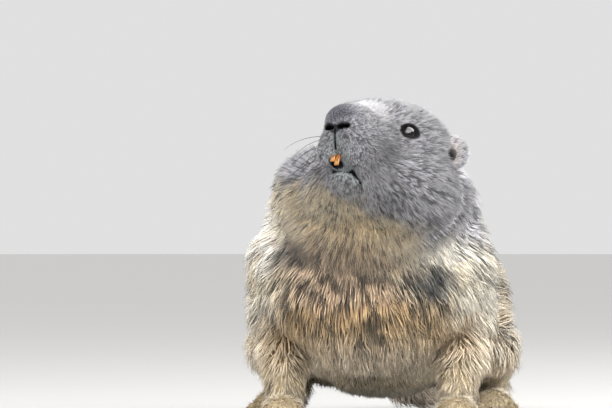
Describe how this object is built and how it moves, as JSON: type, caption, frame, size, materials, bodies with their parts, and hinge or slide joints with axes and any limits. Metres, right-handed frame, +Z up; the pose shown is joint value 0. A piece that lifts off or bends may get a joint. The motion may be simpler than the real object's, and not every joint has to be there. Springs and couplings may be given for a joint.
{
  "type": "alpine marmot",
  "caption": "Life-size alpine marmot on all fours, chest raised, head turned and lifted, short ears, orange incisors, clawed feet and a bushy tail on the floor.",
  "frame": {"origin": "on the floor below the middle of the animal's bounding box", "axes": "+Z up, the animal faces -Y with its left side on +X, and the nose-to-tail line runs along Y"},
  "size_m": [0.1764, 0.5656, 0.2009],
  "materials": {
    "head_fur": "short dense grey fur with pale tips",
    "ear_fur": "short fur with a paler rim",
    "ruff_fur": "long straw and tan hair",
    "body_fur": "long grey-brown coat with tan tips",
    "leg_fur": "tan coat, shorter towards the feet",
    "foot_fur": "short tan fur over toes and dark claws",
    "tail_fur": "bushy brown hair with a black tip",
    "eye": "wet black",
    "tooth": "orange enamel"
  },
  "bodies": {
    "root": {"head": "head_fur", "eye_left": "eye", "eye_right": "eye", "ear_left": "ear_fur", "ear_right": "ear_fur", "incisor_left": "tooth", "incisor_right": "tooth", "neck": "ruff_fur", "torso": "body_fur", "foreleg_left": "leg_fur", "foreleg_right": "leg_fur", "thigh_left": "leg_fur", "thigh_right": "leg_fur", "forefoot_left": "foot_fur", "forefoot_right": "foot_fur", "hindfoot_left": "foot_fur", "hindfoot_right": "foot_fur", "tail": "tail_fur"}
  },
  "joints": []
}
